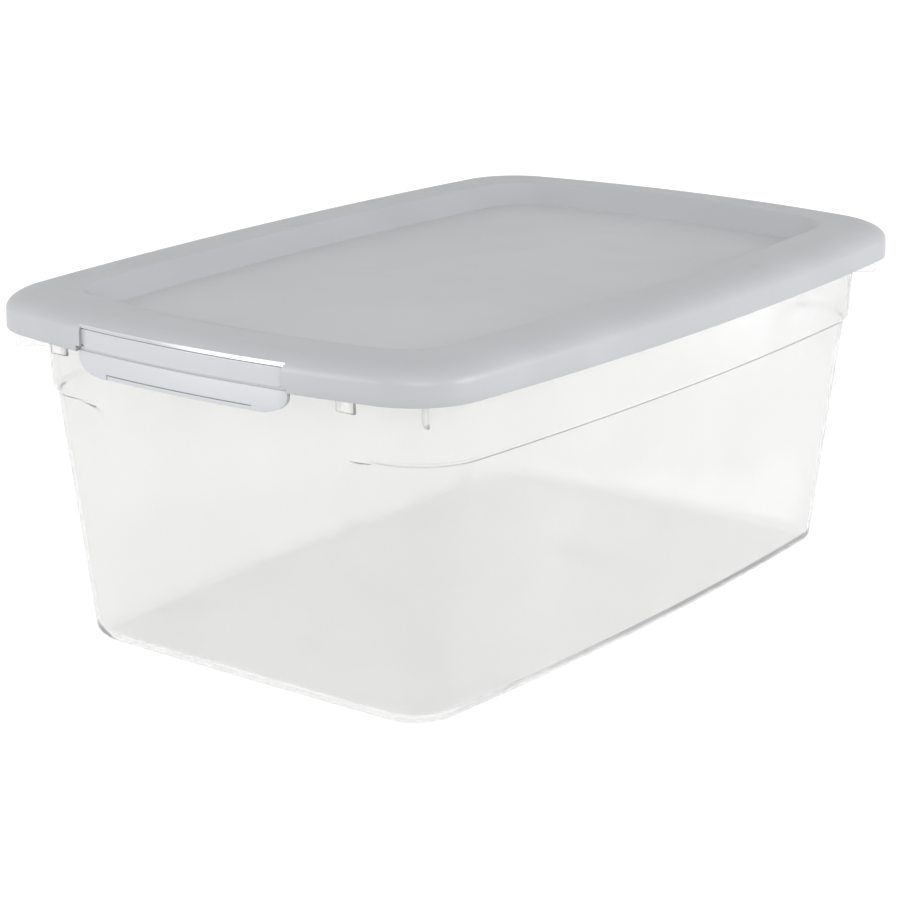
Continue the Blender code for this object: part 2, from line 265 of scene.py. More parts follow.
def filleted(points: Profile, radii: Sequence[float], steps: int = 5) -> Profile:
    """Rounds the inner corners of an open profile.

    Args:
        points: The profile's corners.
        radii: A radius for each corner that isn't an end.
        steps: Intervals along each round.

    Returns:
        The profile with an arc in place of each corner.
    """
    made = [points[0]]
    for before, here, after, radius in zip(points, points[1:], points[2:], radii):
        corner = Vector(here)
        back, ahead = (Vector(before) - corner).normalized(), (Vector(after) - corner).normalized()
        half_angle = back.angle(ahead) / 2.0
        reach = radius / math.tan(half_angle)
        centre = corner + (back + ahead).normalized() * (radius / math.sin(half_angle))
        start, end = corner + back * reach - centre, corner + ahead * reach - centre
        whole = start.angle_signed(end)
        for step in range(steps + 1):
            spoke = start.copy()
            spoke.rotate(Matrix.Rotation(-whole * step / steps, 2))
            made.append(tuple(centre + spoke))
    made.append(points[-1])
    return made


# ---------------------------------------------------------------------------------------------
# Meshes
# ---------------------------------------------------------------------------------------------


def linked(name: str, data: bpy.types.ID) -> bpy.types.Object:
    """A named object of the scene that carries a mesh, a light or a camera."""
    thing = bpy.data.objects.new(name, data)
    bpy.context.scene.collection.objects.link(thing)
    return thing


def new_piece(name: str, points: Iterable[Any], faces: Iterable[Any]) -> bpy.types.Object:
    """A named mesh object of the scene, from points in metres and faces of point numbers."""
    mesh = bpy.data.meshes.new(name)
    mesh.from_pydata([tuple(point) for point in points], [], [tuple(face) for face in faces])
    mesh.validate()
    return linked(name, mesh)


def lofted(name: str, rings: Sequence[np.ndarray]) -> bpy.types.Object:
    """A closed body through rings of equal length, closed by a fan at each end.

    Args:
        name: The object's name.
        rings: Rows of x, y and z in mm, anticlockwise from above, starting on the outer surface's
            lower end and finishing on the inner surface, so that the faces look outward.

    Returns:
        The new object.
    """
    count = len(rings[0])
    ends = [np.mean(rings[0], axis=0), np.mean(rings[-1], axis=0)]
    points = np.concatenate([*rings, ends]) * MM
    index = np.arange(count)
    following = (index + 1) % count
    faces: list[Any] = []
    for row in range(len(rings) - 1):
        low, high = row * count, (row + 1) * count
        faces += zip(low + index, low + following, high + following, high + index)
    first, last = count * len(rings), count * len(rings) + 1
    faces += zip(following, index, np.full(count, first))
    top = count * (len(rings) - 1)
    faces += zip(top + index, top + following, np.full(count, last))
    return new_piece(name, points.tolist(), [[int(i) for i in face] for face in faces])


def swept(name: str, polygon: Profile, stations: Sequence[Station], place: Place) -> bpy.types.Object:
    """A closed body made by carrying a polygon through a row of stations.

    Args:
        name: The object's name.
        polygon: Corners (u, v) in mm.
        stations: At each, its position w and how far u is set back, in mm.
        place: Turns u, v and w, in mm, into a point in metres.

    Returns:
        The new object, its faces looking outward.
    """
    count = len(polygon)
    points = [place(u - setback, v, w) for w, setback in stations for u, v in polygon]
    sides = [
        (row + i, row + (i + 1) % count, row + count + (i + 1) % count, row + count + i)
        for row in range(0, count * (len(stations) - 1), count)
        for i in range(count)
    ]
    last = count * (len(stations) - 1)
    faces = [tuple(reversed(range(count))), tuple(range(last, last + count)), *sides]
    piece = new_piece(name, points, faces)
    volume = sum(
        points[face[0]].dot(points[face[i]].cross(points[face[i + 1]]))
        for face in faces
        for i in range(1, len(face) - 1)
    )
    if volume < 0.0:
        piece.data.flip_normals()
    return piece


def side_on(sign: int) -> Place:
    """Places a side profile's point at one end of the bin: u outward, v up, w across."""
    return lambda u, v, w: Vector((sign * u, w, v)) * MM


def face_on(sign: int) -> Place:
    """Places a front outline's point at one end of the bin: u across, v up, w outward."""
    return lambda u, v, w: Vector((sign * w, u, v)) * MM


def prism(name: str, polygon: Profile, low: float, high: float, place: Place) -> bpy.types.Object:
    """A straight closed prism over a polygon, between two values of w."""
    return swept(name, polygon, [(low, 0.0), (high, 0.0)], place)


def merged(name: str, pieces: Sequence[bpy.types.Object]) -> bpy.types.Object:
    """Separate bodies gathered into one mesh object."""
    points: list[Vector] = []
    faces: list[tuple[int, ...]] = []
    for piece in pieces:
        offset = len(points)
        points += [vertex.co.copy() for vertex in piece.data.vertices]
        faces += [tuple(offset + i for i in face.vertices) for face in piece.data.polygons]
        bpy.data.objects.remove(piece)
    return new_piece(name, points, faces)


def settled(piece: bpy.types.Object) -> bpy.types.Object:
    """Applies a piece's modifiers to its mesh."""
    bpy.context.view_layer.update()
    evaluated = piece.evaluated_get(bpy.context.evaluated_depsgraph_get())
    mesh = bpy.data.meshes.new_from_object(evaluated)
    piece.modifiers.clear()
    piece.data = mesh
    return piece


def combine(target: bpy.types.Object, tool: bpy.types.Object, how: Joining) -> bpy.types.Object:
    """Joins two closed bodies exactly, and removes the second.

    Args:
        target: The body that is changed.
        tool: The body that changes it.
        how: Whether they are united, cut or reduced to what they share.

    Returns:
        The changed body.
    """
    modifier = target.modifiers.new(how.name, "BOOLEAN")
    modifier.operation = how.value
    modifier.solver = "EXACT"
    modifier.object = tool
    settled(target)
    bpy.data.objects.remove(tool)
    return target


def softened(piece: bpy.types.Object, width: float, segments: int = 3) -> bpy.types.Object:
    """Rounds a piece's sharp edges by a width in mm."""
    modifier = piece.modifiers.new("Edge_Round", "BEVEL")
    modifier.width = width * MM
    modifier.segments = segments
    modifier.limit_method = "ANGLE"
    modifier.angle_limit = math.radians(40.0)
    return settled(piece)


def shaded(piece: bpy.types.Object, sharp_degrees: float = 38.0) -> None:
    """Shades a piece smooth, with edges above an angle left sharp."""
    piece.data.shade_smooth()
    piece.data.set_sharp_from_angle(angle=math.radians(sharp_degrees))


# ---------------------------------------------------------------------------------------------
# Finishes
# ---------------------------------------------------------------------------------------------


class Graph:
    """Places and links the nodes of one node tree."""

    def __init__(self, tree: bpy.types.NodeTree) -> None:
        """Keeps the tree that the nodes go in."""
        self.tree = tree

    def node(self, kind: str, settings: dict[str, Any] | None = None, **values: Any) -> bpy.types.Node:
        """Adds a node.

        Args:
            kind: Blender's name for the node type.
            settings: Attributes of the node, such as its operation.
            **values: Input sockets by name, with _ for a space; a socket is linked, and anything
                else becomes the input's own value.

        Returns:
            The new node.
        """
        node = self.tree.nodes.new(kind)
        for name, value in (settings or {}).items():
            setattr(node, name, value)
        for name, value in values.items():
            self.feed(node.inputs[name.replace("_", " ")], value)
        return node

    def feed(self, socket: bpy.types.NodeSocket, value: Any) -> None:
        """Links a socket or gives it a plain value."""
        if isinstance(value, bpy.types.NodeSocket):
            self.tree.links.new(value, socket)
        else:
            socket.default_value = value

    def math(self, operation: str, first: Any, second: Any = 0.0) -> bpy.types.NodeSocket:
        """One arithmetic step on two values or sockets."""
        node = self.node("ShaderNodeMath", {"operation": operation})
        self.feed(node.inputs[0], first)
        self.feed(node.inputs[1], second)
        return node.outputs[0]

    def ranged(self, value: Any, old: tuple[float, float], new: tuple[Any, Any]) -> bpy.types.NodeSocket:
        """Maps a value from one range smoothly to another, held at both ends."""
        node = self.node("ShaderNodeMapRange", {"interpolation_type": "SMOOTHSTEP"}, Value=value)
        for name, bound in zip(("From Min", "From Max", "To Min", "To Max"), (*old, *new)):
            self.feed(node.inputs[name], bound)
        return node.outputs["Result"]

    def mixed(self, share: Any, first: Any, second: Any) -> bpy.types.NodeSocket:
        """Mixes two colours by a share."""
        node = self.node("ShaderNodeMix", {"data_type": "RGBA"})
        self.feed(node.inputs[0], share)
        self.feed(node.inputs[6], first)
        self.feed(node.inputs[7], second)
        return node.outputs[2]


def new_material(name: str) -> tuple[bpy.types.Material, Graph, bpy.types.Node]:
    """A new node material, the graph to fill it with and its shader."""
    material = bpy.data.materials.new(name)
    material.use_nodes = True
    return material, Graph(material.node_tree), material.node_tree.nodes["Principled BSDF"]


def new_group(
    name: str, inputs: dict[str, float], outputs: Sequence[str]
) -> tuple[bpy.types.NodeTree, Graph]:
    """An empty node group with named number sockets.

    Args:
        name: The group's name.
        inputs: Each input's name and usual value.
        outputs: The outputs' names.

    Returns:
        The group and the graph to fill it with.
    """
    group = bpy.data.node_groups.new(name, "ShaderNodeTree")
    for label, value in inputs.items():
        socket = group.interface.new_socket(label, in_out="INPUT", socket_type="NodeSocketFloat")
        socket.default_value = value
    for label in outputs:
        group.interface.new_socket(label, in_out="OUTPUT", socket_type="NodeSocketFloat")
    return group, Graph(group)


def moulded_surface() -> bpy.types.NodeTree:
    """The group for a moulded skin: fine spark-erosion grain, and slow flow marks under it.

    Returns:
        A group with inputs Grain Size, Flow Size and Flow Share, and outputs Height and Tone.
    """
    sizes = {"Grain Size": 0.0005, "Flow Size": 0.06, "Flow Share": 0.3}
    group, graph = new_group("Moulded_Surface", sizes, ("Height", "Tone"))
    given = graph.node("NodeGroupInput").outputs
    place = graph.node("ShaderNodeTexCoord").outputs["Object"]
    fine = graph.node(
        "ShaderNodeTexNoise", Vector=place, Detail=2.0, Roughness=0.6,
        Scale=graph.math("DIVIDE", 1.0, given["Grain Size"]),
    )
    flow = graph.node(
        "ShaderNodeTexNoise", Vector=place, Detail=3.0, Roughness=0.5, Distortion=0.6,
        Scale=graph.math("DIVIDE", 1.0, given["Flow Size"]),
    )
    rest = graph.math("SUBTRACT", 1.0, given["Flow Share"])
    height = graph.math(
        "ADD",
        graph.math("MULTIPLY", fine.outputs["Fac"], rest),
        graph.math("MULTIPLY", flow.outputs["Fac"], given["Flow Share"]),
    )
    out = graph.node("NodeGroupOutput")
    graph.feed(out.inputs["Height"], height)
    graph.feed(out.inputs["Tone"], graph.ranged(flow.outputs["Fac"], (0.3, 0.7), (0.0, 1.0)))
    return group


def handling_marks() -> bpy.types.NodeTree:
    """The group for handling: faint rubbed patches crossed by short fine scratches.

    Returns:
        A group with inputs Patch Size and Scratches, and output Mask.
    """
    group, graph = new_group("Handling_Marks", {"Patch Size": 0.03, "Scratches": 0.5}, ("Mask",))
    given = graph.node("NodeGroupInput").outputs
    place = graph.node("ShaderNodeTexCoord").outputs["Object"]
    patch = graph.node(
        "ShaderNodeTexNoise", Vector=place, Detail=4.0, Roughness=0.65,
        Scale=graph.math("DIVIDE", 1.0, given["Patch Size"]),
    )
    rubbed = graph.ranged(patch.outputs["Fac"], (0.48, 0.72), (0.0, 1.0))
    stretched = graph.node("ShaderNodeMapping", Vector=place, Scale=(60.0, 1400.0, 700.0))
    stretched.inputs["Rotation"].default_value = (0.3, 0.2, 0.7)
    lines = graph.node("ShaderNodeTexNoise", Vector=stretched.outputs[0], Scale=1.0, Detail=2.0)
    fine = graph.ranged(lines.outputs["Fac"], (0.66, 0.74), (0.0, given["Scratches"]))
    mask = graph.math("MAXIMUM", graph.math("MULTIPLY", rubbed, 0.6), graph.math("MULTIPLY", fine, rubbed))
    graph.feed(graph.node("NodeGroupOutput").inputs["Mask"], mask)
    return group


@dataclass(frozen=True)
class Effects:
    """The node groups that several finishes share."""

    surface: bpy.types.NodeTree
    marks: bpy.types.NodeTree

    @classmethod
    def made(cls) -> "Effects":
        """Builds each group once."""
        return cls(moulded_surface(), handling_marks())


class Skin:
    """A new material's shader, with the shared surface and handling groups beside it."""

    def __init__(self, name: str, effects: Effects, grain_size: float, flow_share: float) -> None:
        """Starts the material.

        Args:
            name: The material's name.
            effects: The shared node groups.
            grain_size: Size of the fine grain in metres.
            flow_share: How much of the relief is slow flow marks.
        """
        self.material, self.graph, self.shader = new_material(name)
        self.surface = self.graph.node(
            "ShaderNodeGroup", {"node_tree": effects.surface}, Grain_Size=grain_size, Flow_Share=flow_share
        )
        self.marks = self.graph.node("ShaderNodeGroup", {"node_tree": effects.marks})
        self.shader.inputs["IOR"].default_value = REFRACTION

    def toned(self, low: Sequence[float], high: Sequence[float]) -> bpy.types.NodeSocket:
        """A colour that drifts between two with the flow of the plastic."""
        return self.graph.mixed(self.surface.outputs["Tone"], (*low, 1.0), (*high, 1.0))

    def finished(
        self, colour: bpy.types.NodeSocket, roughness: tuple[float, float], relief: tuple[float, float]
    ) -> bpy.types.Material:
        """Links the colour, the rubbed roughness and the relief.

        Args:
            colour: The base colour.
            roughness: Where the plastic is as moulded, and where it is rubbed.
            relief: The bump's strength and its height in metres.

        Returns:
            The material.
        """
        rubbed = self.graph.ranged(self.marks.outputs["Mask"], (0.0, 1.0), roughness)
        bump = self.graph.node(
            "ShaderNodeBump", Height=self.surface.outputs["Height"], Strength=relief[0], Distance=relief[1]
        )
        links = {"Base Color": colour, "Roughness": rubbed, "Normal": bump.outputs["Normal"]}
        for name, value in links.items():
            self.graph.feed(self.shader.inputs[name], value)
        return self.material


@dataclass(frozen=True)
class MouldedPlastic:
    """An opaque moulded plastic finish, with an optional painted highlight."""

    name: str
    colour: Rgb
    tone_spread: float
    roughness: float
    rubbed_roughness: float
    grain_size: float
    grain_height: float
    coat: float = 0.0
    # Near-white colour blended in along the bin's width as a painted highlight; None for none.
    painted_highlight: Rgb | None = None

    def build(self, effects: Effects) -> bpy.types.Material:
        """Makes the material.

        Args:
            effects: The shared node groups.

        Returns:
            The material.
        """
        skin = Skin(self.name, effects, self.grain_size, 0.15)
        skin.shader.inputs["Coat Weight"].default_value = self.coat
        skin.shader.inputs["Coat Roughness"].default_value = 0.2
        darker = [channel * (1.0 - self.tone_spread) for channel in self.colour]
        colour = skin.toned(darker, self.colour)
        # Painted highlight: the colour turns toward a near-white one on the near side of the bin.
        if self.painted_highlight:
            colour = skin.graph.mixed(self.highlight_fade(skin.graph), colour, (*self.painted_highlight, 1.0))
        return skin.finished(colour, (self.roughness, self.rubbed_roughness), (1.0, self.grain_height))

    @staticmethod
    def highlight_fade(graph: Graph) -> bpy.types.NodeSocket:
        """How much painted highlight the brow takes along the bin's width: all of it on the near side from y
        = -30 mm, none from y = 16 mm, in place of the glint on its rounded edge.
        """
        place = graph.node("ShaderNodeTexCoord").outputs["Object"]
        across = graph.node("ShaderNodeSeparateXYZ", Vector=place).outputs["Y"]
        return graph.ranged(across, (-0.03, 0.016), (1.0, 0.0))


@dataclass(frozen=True)
class ClearPlastic:
    """The tub's clear, faintly milky plastic."""

    name: str = "Clear_Plastic"
    colour: Rgb = (0.93, 0.93, 0.922)
    cloudy_colour: Rgb = (0.915, 0.915, 0.906)
    roughness: float = 0.07
    rubbed_roughness: float = 0.2
    transmission: float = 0.9

    def build(self, effects: Effects) -> bpy.types.Material:
        """Makes the material.

        Args:
            effects: The shared node groups.

        Returns:
            The material.
        """
        skin = Skin(self.name, effects, 0.004, 0.85)
        skin.marks.inputs["Patch Size"].default_value = 0.05
        skin.shader.inputs["Transmission Weight"].default_value = self.transmission
        colour = skin.toned(self.cloudy_colour, self.colour)
        return skin.finished(colour, (self.roughness, self.rubbed_roughness), (0.6, 0.0003))


# ---------------------------------------------------------------------------------------------
# Tub
# ---------------------------------------------------------------------------------------------


@dataclass
class Tub:
    """The clear tub: tapered walls, proud end panels, a ledge, a hollow rim, fins and tabs."""

    high: Vector
    wall: float = 1.6
    floor_wall: float = 1.8
    heel_height: float = 7.0
    foot: Outline = Outline(166.0, 103.0, 1.0, 7.4, 19.0)
    heel: Outline = Outline(174.0, 111.6, 1.0, 7.4, 20.5)
    ledge: Outline = Outline(187.9, 128.0, 3.0, 9.0, 33.0)
    shoulder: Outline = Outline(192.2, 132.2, 8.0, 11.5, 35.0)
    ledge_height: float = 125.6
    ledge_drop: float = 3.2
    shoulder_height: float = 166.0
    inset: float = 1.9
    inset_start: float = 14.0
    panel_half: float = 63.0
    panel_taper: float = 0.125
    panel_round: float = 12.0
    panel_edge: float = 6.0
    rim_end_bow: float = 16.7
    rim_side_bow: float = 12.8
    rim_corner: float = 33.3
    rim_lip: float = 1.8
    rim_bottom: float = 154.0
    rim_crest: float = 0.85
    rim_roll: float = 4.6
    fin_inner: float = 18.0
    fin_bottom: float = 144.6
    fin_top: float = 166.4
    fin_thickness: float = 1.8
    fin_clearance: float = 0.6
    tab_centre: float = 84.0
    tab_width: float = 10.0
    tab_bottom: float = 147.6
    tab_top: float = 166.3
    tab_back: float = 197.4
    tab_face: float = 199.2
    tab_round: float = 0.5

    @property
    def rim(self) -> Outline:
        """The outer lip of the rim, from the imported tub's own size."""
        length, width = self.high.x / MM, self.high.y / MM
        return Outline(length, width, self.rim_end_bow, self.rim_side_bow, self.rim_corner)

    @property
    def rim_top(self) -> float:
        """Height of the rim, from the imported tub's own size."""
        return self.high.z / MM

    def panel_half_at(self, z: float) -> float:
        """Half width of an end panel at a height, opening out in a round below the ledge."""
        half = self.panel_half + self.panel_taper * (z - self.ledge_height / 2.0)
        rise = z - (self.ledge_height - self.ledge_drop - self.panel_round)
        if rise > 0.0:
            half += self.panel_round - math.sqrt(max(self.panel_round**2 - rise * rise, 0.0))
        return half

    def inset_at(self, z: float) -> float:
        """How far the corners and long sides step in from the end panels at a height."""
        top = self.ledge_height - self.ledge_drop
        share = min(max((z - self.inset_start) / (top - self.inset_start), 0.0), 1.0)
        return self.inset * share

    def stations(self, z: float, outline: Outline) -> list[float]:
        """Positions along half an end, close together over the end panel's edge."""
        half, edge = self.panel_half_at(min(z, self.ledge_height - self.ledge_drop)), self.panel_edge
        inner = sweep(0.0, half - edge, 5)
        across = sweep(half - edge, half + edge, 6)[1:]
        return inner + across + sweep(half + edge, outline.end_tangent(), 3)[1:-1]

    def lower_ring(self, z: float, skin: float) -> np.ndarray:
        """The wall's ring below the ledge.

        Args:
            z: Height in mm.
            skin: Distance in from the outer surface, in mm.

        Returns:
            Rows of x, y and z in mm.
        """
        if z < self.heel_height:
            turn = math.sqrt(max(1.0 - (1.0 - z / self.heel_height) ** 2, 0.0))
            outline = self.foot.toward(self.heel, turn)
        else:
            share = (z - self.heel_height) / (self.ledge_height - self.heel_height)
            outline = self.heel.toward(self.ledge, share)
        ring = outline.ring(self.stations(z, outline))
        half, depth = self.panel_half_at(z), self.inset_at(z)
        stepped = [
            eased(abs(y), half - self.panel_edge, half + self.panel_edge) if abs(nx) > 0.9 else 1.0
            for _, y, nx, _ in ring
        ]
        return lifted(ring, z, skin + depth * np.array(stepped))

    def upper_ring(self, z: float, skin: float) -> np.ndarray:
        """The wall's ring between the ledge and the rim."""
        share = (z - self.ledge_height) / (self.shoulder_height - self.ledge_height)
        outline = self.ledge.toward(self.shoulder, share)
        return lifted(outline.ring(self.stations(self.ledge_height, outline)), z, skin)

    def ledge_ring(self, share: float, skin: float) -> np.ndarray:
        """A ring of the small step below the upper wall, share 0 at its bottom and 1 at its top."""
        low = self.lower_ring(self.ledge_height - self.ledge_drop, skin)
        high = self.upper_ring(self.ledge_height, skin)
        across = eased(share, 0.0, 1.0)
        made = low + (high - low) * across
        made[:, 2] = blend(low[0, 2], high[0, 2], share)
        return made

    def rim_ring(self, share: float, z: float, inward: float = 0.0) -> np.ndarray:
        """A ring of the rim, share 0 at its outer lip and 1 at the inside edge of the wall."""
        inside = self.shoulder
        edge = Outline(
            inside.half_length - self.wall, inside.half_width - self.wall,
            inside.end_bow, inside.side_bow, inside.corner - self.wall,
        )
        outline = self.rim.toward(edge, share)
        return lifted(outline.ring(self.stations(self.ledge_height, outline)), z, inward)

    def wall_heights(self) -> list[float]:
        """Heights of the lower wall's rings, close together at the heel and at the panel's round."""
        start = self.ledge_height - self.ledge_drop - self.panel_round
        heel = [self.heel_height * (1.0 - math.cos(turn)) for turn in sweep(0.0, math.pi / 2, 8)]
        plain = [10.0, self.inset_start, 24.0, 45.0, 70.0, 92.0]
        rounded = [start + self.panel_round * math.sin(turn) for turn in sweep(0.0, math.pi / 2, 11)]
        return heel + plain + rounded

    def rim_rings(self) -> list[np.ndarray]:
        """Rings from the underside of the rim, round its lip, over its top to the inner wall."""
        lip, bottom = self.rim_lip, self.rim_bottom
        under = [(0.92, 166.9), (0.7, 166.9), (0.5, 166.6), (0.3, 165.9), (0.18, 165.0), (0.12, 164.2)]
        rings = [self.rim_ring(share, z) for share, z in under]
        turned = [(lip, 163.2), (lip, bottom + 0.5), (lip - 0.2, bottom + 0.1), (lip - 0.6, bottom)]
        turned += [(0.6, bottom), (0.2, bottom + 0.1), (0.0, bottom + 0.5), (0.0, 164.2)]
        rings += [self.rim_ring(0.0, z, inward) for inward, z in turned]
        for share in (0.01, 0.04, 0.09, 0.16, 0.26, 0.38, 0.52, 0.68, self.rim_crest):
            fall = math.sqrt(max(1.0 - (share / self.rim_crest) ** 0.8, 0.0)) ** 1.6
            rings.append(self.rim_ring(share, self.rim_top - self.rim_roll * fall))
        edge = [(0.95, self.rim_top), (0.99, self.rim_top - 0.2), (1.0, self.rim_top - 0.7)]
        return rings + [self.rim_ring(share, z) for share, z in edge]

    def rings(self) -> list[np.ndarray]:
        """All rings, from the underside of the floor, over the rim, to the top of the floor."""
        ledge_shares = sweep(0.0, 1.0, 7)[1:]
        upper_heights = (132.0, 140.0, 150.0, 158.0)
        floor_shares = (0.5, 0.94)
        underside = [self.lower_ring(0.0, 0.0) * (share, share, 1.0) for share in floor_shares]
        outside = [self.lower_ring(z, 0.0) for z in self.wall_heights()]
        outside += [self.ledge_ring(share, 0.0) for share in ledge_shares]
        outside += [self.upper_ring(z, 0.0) for z in (*upper_heights, self.shoulder_height)]
        inside = [self.upper_ring(z, self.wall) for z in (self.shoulder_height - 1.0, *upper_heights[::-1])]
        inside += [self.ledge_ring(share, self.wall) for share in reversed(ledge_shares)]
        top = self.ledge_height - self.ledge_drop
        for z in reversed(self.wall_heights()):
            ring = self.lower_ring(z, self.wall)
            ring[:, 2] = self.floor_wall + z * (1.0 - self.floor_wall / top)
            inside.append(ring)
        floor = [inside[-1] * (share, share, 1.0) for share in reversed(floor_shares)]
        return underside + outside + self.rim_rings() + inside + floor

    def fin(self, sign_x: int, sign_y: int) -> bpy.types.Object:
        """A thin upright fin from a corner of the wall out to the rim's lip."""
        cx, cy = self.rim.corner_centre()
        out = Vector((sign_x, sign_y, 0.0)).normalized()
        side = Vector((-out.y, out.x, 0.0))
        centre = Vector((sign_x * cx, sign_y * cy, 0.0))
        inner, reach, half = self.fin_inner, self.rim_corner - self.fin_clearance, self.fin_thickness / 2.0
        low, high = self.fin_bottom, self.fin_top
        polygon = [(inner, 156.0), (inner + 1.2, low), (reach - 1.0, low), (reach, low + 1.0)]
        polygon += [(reach, 162.0), (inner + 8.0, high), (inner + 0.8, high)]
        return prism(
            "Fin", polygon, -half, half,
            lambda u, v, w: (centre + out * u + side * w + Vector((0.0, 0.0, v))) * MM,
        )

    def tab(self, sign_x: int, sign_y: int) -> bpy.types.Object:
        """A thin tab that hangs from the end rim, beside the latch."""
        middle, half = sign_y * self.tab_centre, self.tab_width / 2.0
        polygon = [(self.tab_back, self.tab_bottom), (self.tab_face, self.tab_bottom)]
        polygon += [(self.tab_face, self.tab_top), (self.tab_back, self.tab_top)]
        return softened(prism("Tab", polygon, middle - half, middle + half, side_on(sign_x)), self.tab_round)

    def build(self) -> bpy.types.Object:
        """Builds the tub's mesh.

        Returns:
            The tub.
        """
        piece = lofted("Clear_Tub", self.rings())
        corners = [(sign_x, sign_y) for sign_x in (1, -1) for sign_y in (1, -1)]
        stiffeners = [make(*corner) for corner in corners for make in (self.fin, self.tab)]
        combine(piece, merged("Stiffeners", stiffeners), Joining.UNION)
        shaded(piece)
        return piece

    def dress(self, piece: bpy.types.Object, effects: Effects) -> None:
        """Gives the tub its clear finish and lets it ride on its body."""
        piece.data.materials.append(ClearPlastic().build(effects))
        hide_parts("Tub")
        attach(piece, "tub")


# ---------------------------------------------------------------------------------------------
# Lid
# ---------------------------------------------------------------------------------------------


@dataclass
class Lid:
    """The satin lid: skirt, rounded shoulder, flat border, sloping seat and sunken panel."""

    low: Vector
    high: Vector
    half_length: float = 213.5
    end_bow: float = 18.4
    side_bow: float = 12.8
    corner: float = 35.5
    wall: float = 1.6
    shoulder_run: float = 14.0
    shoulder_rise: float = 8.0
    border_width: float = 29.5
    panel_depth: float = 11.0
    panel_half_length: float = 174.0
    panel_half_width: float = 103.2
    panel_corner: float = 27.0
    seat_width: float = 9.5
    seat_lead: float = 2.5
    panel_lead: float = 3.0
    gate_radius: float = 5.0
    notch_half: float = 59.0
    notch_low_half: float = 61.6
    notch_step: float = 157.6
    notch_depth: float = 206.2
    notch_round: float = 0.5
    brow_back: float = 208.8
    brow_face: float = 212.0
    brow_bottom: float = 165.7
    brow_top: float = 167.5
    brow_overlap: float = 1.0
    brow_round: float = 0.25

    @property
    def top(self) -> float:
        """Height of the border."""
        return self.high.z / MM

    @property
    def bottom(self) -> float:
        """Height of the skirt's lower edge."""
        return self.low.z / MM

    @property
    def edge(self) -> Outline:
        """The outline of the skirt."""
        width = self.high.y / MM
        return Outline(self.half_length, width, self.end_bow, self.side_bow, self.corner)

    def outer_section(self) -> Profile:
        """The outside from the skirt's edge to the border, as distance in from the skirt and z."""
        points = [(0.55, self.bottom), (0.2, self.bottom + 0.1), (0.0, self.bottom + 0.45)]
        points += [(0.06, blend(self.bottom, self.top - self.shoulder_rise, 0.5))]
        for turn in sweep(0.0, math.pi / 2, 16):
            run = self.shoulder_run * (1.0 - math.cos(turn)) + 0.15
            points.append((run, self.top - self.shoulder_rise * (1.0 - math.sin(turn))))
        inner = self.border_width - self.seat_lead
        return points + [(inner - 3.5, self.top), (inner, self.top)]

    def inner_section(self) -> Profile:
        """The inside of the same stretch, one wall thickness away."""
        points = []
        for run, z in self.outer_section()[2:]:
            rise = max(z - (self.top - self.shoulder_rise), 0.0) / self.shoulder_rise
            across = self.wall * math.sqrt(max(1.0 - rise * rise, 0.0))
            points.append((run + across, z - self.wall * rise))
        lowest = (points[0][0] - 0.45, self.bottom)
        return [lowest, *points]

    def seat_section(self) -> Profile:
        """The seat as distance in from the border and drop: a soft top edge and a tight crease."""
        width, depth = self.seat_width, self.panel_depth
        corners = [(-self.seat_lead, 0.0), (0.6, 0.0), (width - 1.2, depth), (width + self.panel_lead, depth)]
        return filleted(corners, (3.0, 0.9), 7)

    def seat_ring(self, distance: float, z: float) -> np.ndarray:
        """A ring of the seat or the panel, a given distance in from the border's inner edge."""
        border = self.edge.shrunk(self.border_width)
        panel = Outline(
            self.panel_half_length, self.panel_half_width,
            border.end_bow * 0.6, border.side_bow * 0.9, self.panel_corner,
        )
        return lifted(border.toward(panel, distance / self.seat_width).ring(), z)

    def panel_rings(self, thickness: float) -> list[np.ndarray]:
        """Rings of the flat panel from a small moulding gate at its middle out to its border."""
        z = self.top - self.panel_depth - thickness
        border = self.seat_ring(self.seat_width + self.panel_lead, z)
        spokes = border[:, :2] / np.linalg.norm(border[:, :2], axis=1, keepdims=True)
        radius = self.gate_radius
        gate = [(0.3, 0.0), (0.74, 0.0), (0.84, 0.14), (0.92, 0.14), (1.0, 0.0), (1.15, 0.0)]
        rings = [
            np.column_stack([spokes * radius * share, np.full(len(spokes), z + height)])
            for share, height in gate
        ]
        disc = rings[-1]
        return rings + [disc + (border - disc) * share for share in (0.25, 0.6, 0.9)]

    def rings(self) -> list[np.ndarray]:
        """All rings, from the middle of the panel's top, round the skirt, to its underside."""
        seat = self.seat_section()
        top = self.panel_rings(0.0)
        top += [self.seat_ring(distance, self.top - drop) for distance, drop in reversed(seat)]
        outer = [lifted(self.edge.shrunk(run).ring(), z) for run, z in reversed(self.outer_section())]
        inner = [lifted(self.edge.shrunk(run).ring(), z) for run, z in self.inner_section()]
        under = [self.seat_ring(distance, self.top - self.wall - drop) for distance, drop in seat]
        under += self.panel_rings(self.wall)[::-1]
        return top + outer + inner + under

    def notch(self, sign: int) -> bpy.types.Object:
        """The gap in the skirt where a latch flap hangs, wider beside the flap's band."""
        low, high = self.bottom - 4.0, self.brow_bottom + 0.9
        corners = [(self.notch_low_half, low), (self.notch_low_half, self.notch_step)]
        corners += [(self.notch_half, self.notch_step), (self.notch_half, high)]
        right = filleted(corners, (self.notch_round, self.notch_round), 4)
        left = [(-y, z) for y, z in reversed(right)]
        return prism("Notch", right + left, self.notch_depth, self.half_length + 6.0, face_on(sign))

    def brow(self, sign: int) -> bpy.types.Object:
        """The bar that closes the shoulder over a latch flap, with a rounded front edge."""
        face, low, high = self.brow_face, self.brow_bottom, self.brow_top
        corners = [(self.brow_back, low), (face, low), (face, high), (self.brow_back, high)]
        stations = bow_stations(self.notch_half + self.brow_overlap)
        piece = swept("Brow", filleted(corners, (0.3, 0.6)), stations, side_on(sign))
        return softened(piece, self.brow_round)

